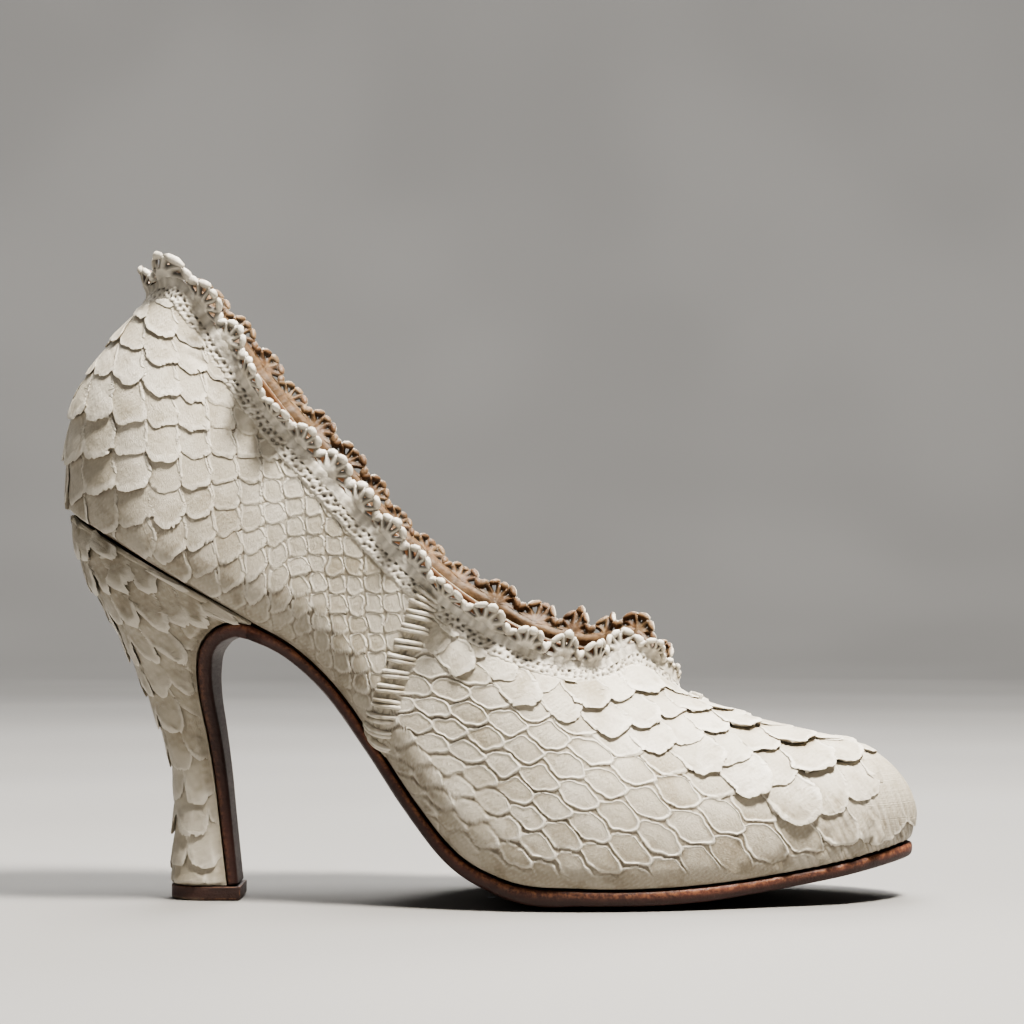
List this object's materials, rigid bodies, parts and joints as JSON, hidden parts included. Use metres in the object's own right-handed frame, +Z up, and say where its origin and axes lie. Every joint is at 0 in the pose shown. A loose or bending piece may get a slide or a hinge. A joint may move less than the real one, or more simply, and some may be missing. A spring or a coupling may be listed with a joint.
{
  "type": "high heel court shoe",
  "caption": "Cream snakeskin court shoe with a curved covered high heel, brown leather sole carried down the heel breast, and a lace-cut leather frill round the topline. Right foot.",
  "frame": {"origin": "middle of the shoe's length and width, on the floor", "axes": "+X from heel to toe, +Y to the medial side, +Z up"},
  "size_m": [0.2149, 0.0776, 0.1607],
  "materials": {
    "snakeskin": "cream snakeskin, satin, lifted scales",
    "lining": "tan lining leather, matt",
    "sole": "brown sole leather, polished edge",
    "top_piece": "dark brown stacked leather, worn",
    "frill": "cream lace-cut leather, beaded edge"
  },
  "bodies": {
    "root": {"upper": "snakeskin", "insole": "lining", "outsole": "sole", "heel": "snakeskin", "heel_top_piece": "top_piece", "collar_trim": "frill"}
  },
  "joints": []
}
